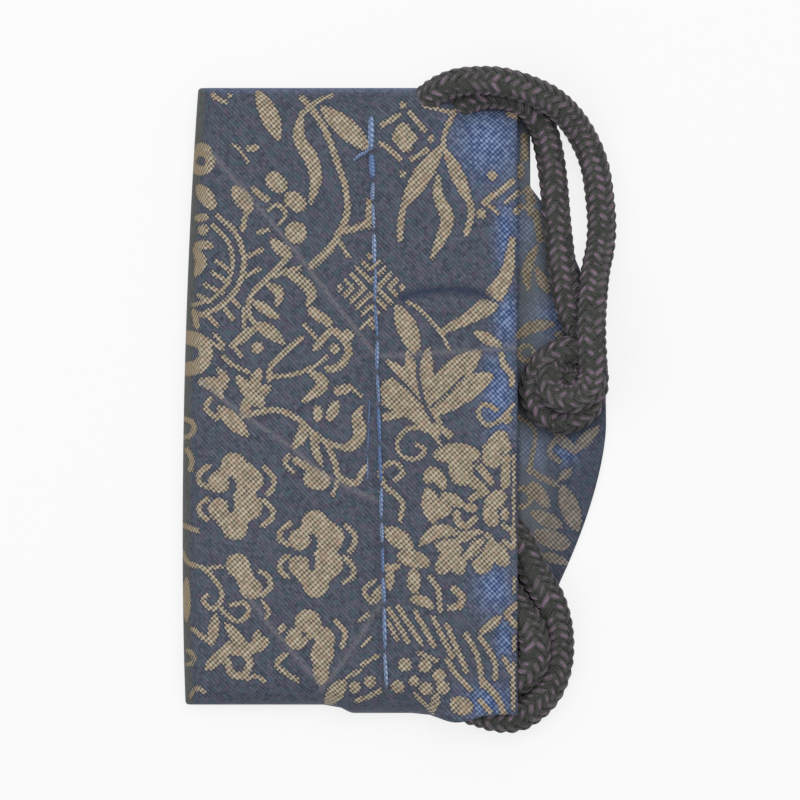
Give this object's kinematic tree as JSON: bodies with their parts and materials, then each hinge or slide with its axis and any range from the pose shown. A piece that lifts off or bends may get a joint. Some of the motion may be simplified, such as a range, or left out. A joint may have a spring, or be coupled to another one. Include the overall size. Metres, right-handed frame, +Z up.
{
  "type": "brocade pouch",
  "caption": "Flat folded brocade pouch open along one long side, with a rounded tongue flap, a hand-sewn front seam and a braided cord loop knotted on the flap.",
  "frame": {"origin": "middle of the cloth's plan, on the surface that the pouch lies on", "axes": "+X from the fold to the flap, +Y along the pouch to its top seam, +Z up through the front panel"},
  "size_m": [0.0775, 0.1183, 0.0134],
  "materials": {
    "brocade": "navy twill ground with beige-gold woven flowers and leaves",
    "thread": "light blue sewing thread",
    "cord": "dark purple-brown round braid with plum highlights"
  },
  "bodies": {
    "root": {"pouch_cloth": "brocade", "seam_thread": "thread", "cord_outer_strand": "cord", "cord_inner_strand": "cord", "cord_lower_outer": "cord", "cord_lower_inner": "cord", "cord_knot": "cord"}
  },
  "joints": []
}
